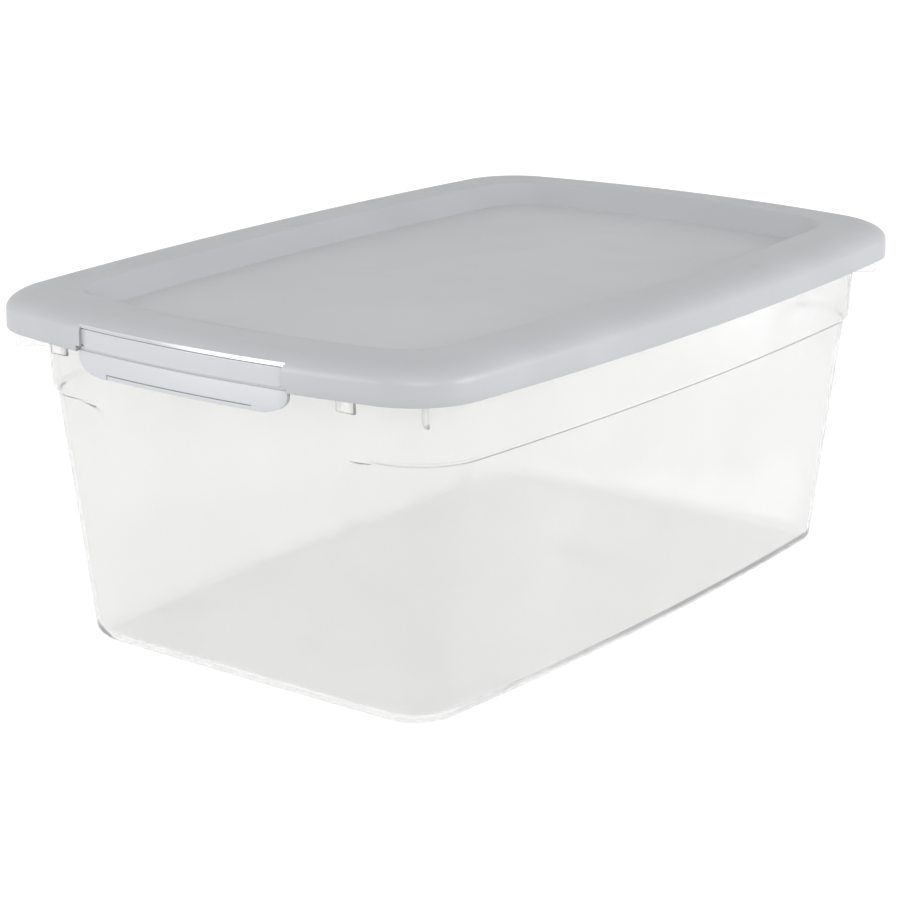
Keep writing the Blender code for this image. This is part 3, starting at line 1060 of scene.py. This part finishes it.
    def mark_faces(self, piece: bpy.types.Object) -> None:
        """Gives the panel the slot of its rougher finish, painted a lighter grey, and the brows the slot of
        their painted highlight.
        """
        level = (self.top - self.panel_depth) * MM
        for face in piece.data.polygons:
            centre = face.center / MM
            setback = centre.y**2 / (2.0 * END_BOW_RADIUS)
            over_flap = abs(centre.y) < self.notch_half + self.brow_overlap + 0.1
            within = self.brow_bottom + 0.1 < centre.z < self.brow_top + 0.05
            if face.normal.z > 0.9 and abs(face.center.z - level) < 0.0006:
                face.material_index = LidFace.PANEL.value
            elif over_flap and within and abs(centre.x) + setback > self.brow_face - 0.8:
                face.material_index = LidFace.BROW.value

    def build(self) -> bpy.types.Object:
        """Builds the lid's mesh.

        Returns:
            The lid.
        """
        piece = lofted("Satin_Lid", self.rings())
        signs = (1, -1)
        combine(piece, merged("Notches", [self.notch(sign) for sign in signs]), Joining.CUT)
        for sign in signs:
            combine(piece, self.brow(sign), Joining.UNION)
        self.mark_faces(piece)
        shaded(piece)
        return piece

    def dress(self, piece: bpy.types.Object, effects: Effects) -> None:
        """Gives the lid its finishes and lets it ride on its body."""
        border = MouldedPlastic(
            "Satin_Border", (0.365, 0.367, 0.376), 0.05, 0.36, 0.48, 0.00045, 0.000012
        )
        # Painted light: the panel takes a lighter copy of the border's grey for the extra brightness the
        # light gives it; its rougher, coarser grain is its own.
        panel = MouldedPlastic(
            "Textured_Panel", (0.43, 0.43, 0.435), 0.04, 0.48, 0.56, 0.0007, 0.00004
        )
        # The brow's grey turns near-white toward the near side: a painted highlight in place of the glint on
        # its rounded front edge.
        brow = MouldedPlastic(
            "Brow_Painted_Highlight", (0.43, 0.435, 0.45), 0.04, 0.3, 0.4, 0.00045, 0.000012,
            painted_highlight=(0.92, 0.92, 0.92),
        )
        for finish in (border, panel, brow):
            piece.data.materials.append(finish.build(effects))
        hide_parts("Lid")
        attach(piece, "lid")


# ---------------------------------------------------------------------------------------------
# Latches
# ---------------------------------------------------------------------------------------------


class End(Enum):
    """The two short ends, by the sign of x."""

    FRONT = -1
    REAR = 1


@dataclass
class Latch:
    """A latch flap: a raised pad below its hinge edge, and a flared band with a finger notch."""

    end: End
    low: Vector
    high: Vector
    plate_back: float = 210.05
    pad_face: float = 211.6
    pad_half: float = 58.6
    pad_bottom: float = 156.3
    pad_sag: float = 0.3
    pad_corner: float = 3.0
    groove_depth: float = 0.75
    groove_height: float = 0.9
    hinge_radius: float = 0.8
    band_round_y: float = 16.0
    band_round_z: float = 8.0
    flare: float = 212.4
    lip_setback: float = 0.5
    lip_groove: float = 0.6
    grip_half: float = 42.5
    grip_height: float = 2.4
    edge_round: float = 0.25
    band_edge_round: float = 0.12
    cutter_spare: float = 3.0

    @property
    def bottom(self) -> float:
        """Height of the band's lower edge."""
        return self.low.z / MM

    @property
    def band_half(self) -> float:
        """Half the band's width."""
        return self.high.y / MM

    @property
    def hinge(self) -> tuple[float, float]:
        """The hinge line's distance out and height."""
        height = self.high.z / MM - self.hinge_radius
        return self.plate_back + self.hinge_radius, height

    def front_outline(self, half: float, low: float, run: float, rise: float, sag: float = 0.0) -> Profile:
        """A front outline with elliptical lower corners, open at the top.

        Args:
            half: Half width in mm.
            low: Height of the lower edge at its corners.
            run: Width of each lower corner's round.
            rise: Height of each lower corner's round.
            sag: How far the lower edge hangs down at its middle.

        Returns:
            The outline.
        """
        high = self.high.z / MM + 6.0
        left = [
            (-half + run * (1.0 - math.cos(turn)), low + rise * (1.0 - math.sin(turn)))
            for turn in sweep(0.0, math.pi / 2, 10)
        ]
        flat = half - run
        edge = [(y, low - sag * (1.0 - (y / flat) ** 2)) for y in sweep(-flat, flat, 20)[1:-1]]
        right = [(-y, z) for y, z in reversed(left)]
        return [(half, high), (-half, high), *left, *edge, *right]

    def bowed(self, name: str, polygon: Profile, half: float) -> bpy.types.Object:
        """A side profile carried across the flap, following the bow of the rim."""
        return swept(name, polygon, bow_stations(half), side_on(self.end.value))

    def through(self, name: str, outline: Profile) -> bpy.types.Object:
        """A front outline carried through the flap's whole thickness."""
        reach = self.flare + self.cutter_spare
        return prism(name, outline, self.plate_back - 2.0 * self.cutter_spare, reach, face_on(self.end.value))

    def pad(self) -> bpy.types.Object:
        """The upper plate with its rounded hinge edge and rounded lower corners."""
        out, height = self.hinge
        radius = self.hinge_radius
        low = self.pad_bottom - 2.0
        profile = [(self.plate_back, low), (self.pad_face, low), (self.pad_face, height - 0.6)]
        for turn in sweep(math.radians(-20.0), math.pi, 12):
            reach = min(out + radius * math.cos(turn), self.pad_face)
            profile.append((reach, height + radius * math.sin(turn)))
        plate = self.bowed("Pad", profile, self.pad_half)
        half, corner = self.pad_half - 0.01, self.pad_corner
        outline = self.front_outline(half, self.pad_bottom + self.pad_sag, corner, corner, self.pad_sag)
        combine(plate, self.through("Pad_Edge", outline), Joining.COMMON)
        return softened(plate, self.edge_round)

    def band_profile(self) -> Profile:
        """The band's side profile: a groove under the pad, then a face that leans gently outward."""
        top, groove = self.pad_bottom + 1.0, self.pad_bottom - self.groove_height
        floor = self.pad_face - self.groove_depth
        corners = [
            (self.plate_back, top),
            (self.plate_back, self.bottom),
            (self.flare, self.bottom),
            (self.flare - 0.15, self.bottom + 3.2),
            (self.pad_face + 0.1, groove - 0.1),
            (floor, groove + 0.35),
            (floor, top),
        ]
        return filleted(corners, (0.25, 0.3, 5.0, 0.25, 0.2))

    def band(self) -> bpy.types.Object:
        """The lower band with rounded corners and a finger notch in its front edge."""
        piece = self.bowed("Band", self.band_profile(), self.band_half)
        outline = self.front_outline(
            self.band_half + 0.01, self.bottom - 0.01, self.band_round_y, self.band_round_z
        )
        combine(piece, self.through("Band_Edge", outline), Joining.COMMON)
        lip, top = self.flare - self.lip_setback, self.bottom + self.grip_height
        reach, below = self.flare + self.cutter_spare, self.bottom - self.cutter_spare
        groove, shelf = lip - 1.0, top - self.lip_groove
        notch = [(lip, below), (reach, below), (reach, top), (groove, top), (groove, shelf), (lip, shelf)]
        combine(piece, self.bowed("Grip", notch, self.grip_half), Joining.CUT)
        return softened(piece, self.band_edge_round)

    def build(self) -> bpy.types.Object:
        """Builds the flap's mesh.

        Returns:
            The flap.
        """
        piece = combine(self.pad(), self.band(), Joining.UNION)
        piece.name = f"Latch_Flap_{self.end.name.title()}"
        shaded(piece, 30.0)
        return piece

    def dress(self, piece: bpy.types.Object, finish: bpy.types.Material) -> None:
        """Gives the flap its finish and lets it ride on its body."""
        piece.data.materials.append(finish)
        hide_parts(f"Latch_{self.end.name.title()}")
        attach(piece, f"latch_{self.end.name.lower()}")


# ---------------------------------------------------------------------------------------------
# Studio
# ---------------------------------------------------------------------------------------------


@dataclass(frozen=True)
class SoftLight:
    """One large soft light, by where it hangs and what it is turned to."""

    name: str
    azimuth: float
    elevation: float
    distance: float
    size: float
    power: float
    colour: Rgb = (1.0, 1.0, 1.0)

    def build(self, aim: Vector) -> None:
        """Hangs the light, turned to a point."""
        data = bpy.data.lights.new(self.name, "AREA")
        data.shape = "DISK"
        data.size = self.size
        data.energy = self.power
        data.color = self.colour
        lamp = linked(self.name, data)
        back = outward(self.azimuth, self.elevation)
        lamp.location = aim + back * self.distance
        lamp.rotation_euler = back.to_track_quat("Z", "Y").to_euler()


def outward(azimuth: float, elevation: float) -> Vector:
    """The direction from the bin to a viewer; azimuth 0 stands at -Y, in degrees."""
    turn, rise = math.radians(azimuth), math.radians(elevation)
    return Vector((math.sin(turn) * math.cos(rise), -math.cos(turn) * math.cos(rise), math.sin(rise)))


@dataclass
class Studio:
    """A pale light table, soft lights and the camera."""

    azimuth: float = -52.584
    elevation: float = 16.211
    roll: float = -0.257
    distance: float = 1.2789
    aim: Vector = Vector((-0.00646, 0.0085, 0.07085))
    focal_length: float = 101.98
    sensor: float = 36.0
    clip: tuple[float, float] = (0.01, 200.0)
    floor_side: float = 60.0
    backdrop_level: float = 1.0
    surround_level: float = 0.79
    table_glow: float = 0.95
    light_aim: float = 0.08

    def floor(self) -> None:
        """The table top, faintly lit from within as a light table is."""
        half = self.floor_side / 2.0
        corners = [(-half, -half), (half, -half), (half, half), (-half, half)]
        table = new_piece("Floor", [(x, y, -0.0002) for x, y in corners], [(0, 1, 2, 3)])
        material, graph, shader = new_material("Light_Table")
        place = graph.node("ShaderNodeTexCoord").outputs["Object"]
        mottle = graph.node("ShaderNodeTexNoise", Vector=place, Scale=6.0, Detail=2.0)
        tint = graph.mixed(mottle.outputs["Fac"], (0.13, 0.13, 0.13, 1.0), (0.15, 0.15, 0.15, 1.0))
        graph.feed(shader.inputs["Base Color"], tint)
        shader.inputs["Roughness"].default_value = 0.7
        shader.inputs["Specular IOR Level"].default_value = 0.2
        shader.inputs["Emission Color"].default_value = WHITE
        shader.inputs["Emission Strength"].default_value = self.table_glow
        table.data.materials.append(material)

    def world(self) -> None:
        """An even white surround, with a backdrop lit a little brighter than the rest."""
        world = bpy.data.worlds.new("White_Surround")
        world.use_nodes = True
        graph = Graph(world.node_tree)
        surround = graph.node("ShaderNodeBackground", Color=WHITE, Strength=self.surround_level)
        backdrop = graph.node("ShaderNodeBackground", Color=WHITE, Strength=self.backdrop_level)
        choice = graph.node("ShaderNodeMixShader", Fac=graph.node("ShaderNodeLightPath").outputs[0])
        graph.feed(choice.inputs[1], surround.outputs[0])
        graph.feed(choice.inputs[2], backdrop.outputs[0])
        graph.feed(world.node_tree.nodes["World Output"].inputs["Surface"], choice.outputs[0])
        bpy.context.scene.world = world

    def lights(self) -> None:
        """A broad cool light beside each of the two near faces, and a weak one over the near end."""
        for light in (
            SoftLight("End_Light", -120.0, 14.0, 1.9, 1.2, 15.0, (0.95, 0.975, 1.0)),
            SoftLight("Front_Light", -48.0, 26.0, 2.2, 1.2, 13.0, (0.93, 0.965, 1.0)),
            SoftLight("Side_Light", 15.0, 16.0, 1.9, 1.2, 20.0, (0.93, 0.965, 1.0)),
            SoftLight("Near_Light", -70.0, 50.0, 1.1, 0.6, 0.8),
        ):
            light.build(Vector((0.0, 0.0, self.light_aim)))

    def camera(self) -> None:
        """The camera, level but for a small roll."""
        back = outward(self.azimuth, self.elevation)
        turn, lean = math.radians(self.azimuth), math.radians(self.roll)
        right = Vector((math.cos(turn), math.sin(turn), 0.0))
        above = back.cross(right)
        rolled = right * math.cos(lean) + above * math.sin(lean)
        raised = above * math.cos(lean) - right * math.sin(lean)
        data = bpy.data.cameras.new("Camera")
        data.lens = self.focal_length
        data.sensor_width = self.sensor
        data.clip_start, data.clip_end = self.clip
        camera = linked("Camera", data)
        facing = Matrix((rolled, raised, back)).transposed().to_4x4()
        camera.matrix_world = Matrix.Translation(self.aim + back * self.distance) @ facing
        bpy.context.scene.camera = camera

    def build(self) -> None:
        """Sets the table, the surround, the lights, the camera and a plain view transform."""
        self.camera()
        self.floor()
        self.world()
        self.lights()
        bpy.context.scene.view_settings.view_transform = "Standard"


def report(piece: bpy.types.Object) -> None:
    """Logs a finished piece and how many faces it has."""
    LOG.info("%s: %d faces", piece.name, len(piece.data.polygons))


def main() -> None:
    """Builds the studio and every piece of the bin in order."""
    logging.basicConfig(level=logging.INFO, format="%(name)s: %(message)s")
    Studio().build()
    effects = Effects.made()
    tub = Tub(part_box("Tub")[1])
    tub_piece = tub.build()
    tub.dress(tub_piece, effects)
    report(tub_piece)
    lid = Lid(*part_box("Lid"))
    lid_piece = lid.build()
    lid.dress(lid_piece, effects)
    report(lid_piece)
    flap_finish = MouldedPlastic(
        "Glossy_Flap", (0.42, 0.425, 0.437), 0.02, 0.3, 0.36, 0.0006, 0.000006, coat=0.15
    ).build(effects)
    for end in End:
        latch = Latch(end, *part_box(f"Latch_{end.name.title()}"))
        latch_piece = latch.build()
        latch.dress(latch_piece, flap_finish)
        report(latch_piece)


if __name__ == "__main__":
    main()
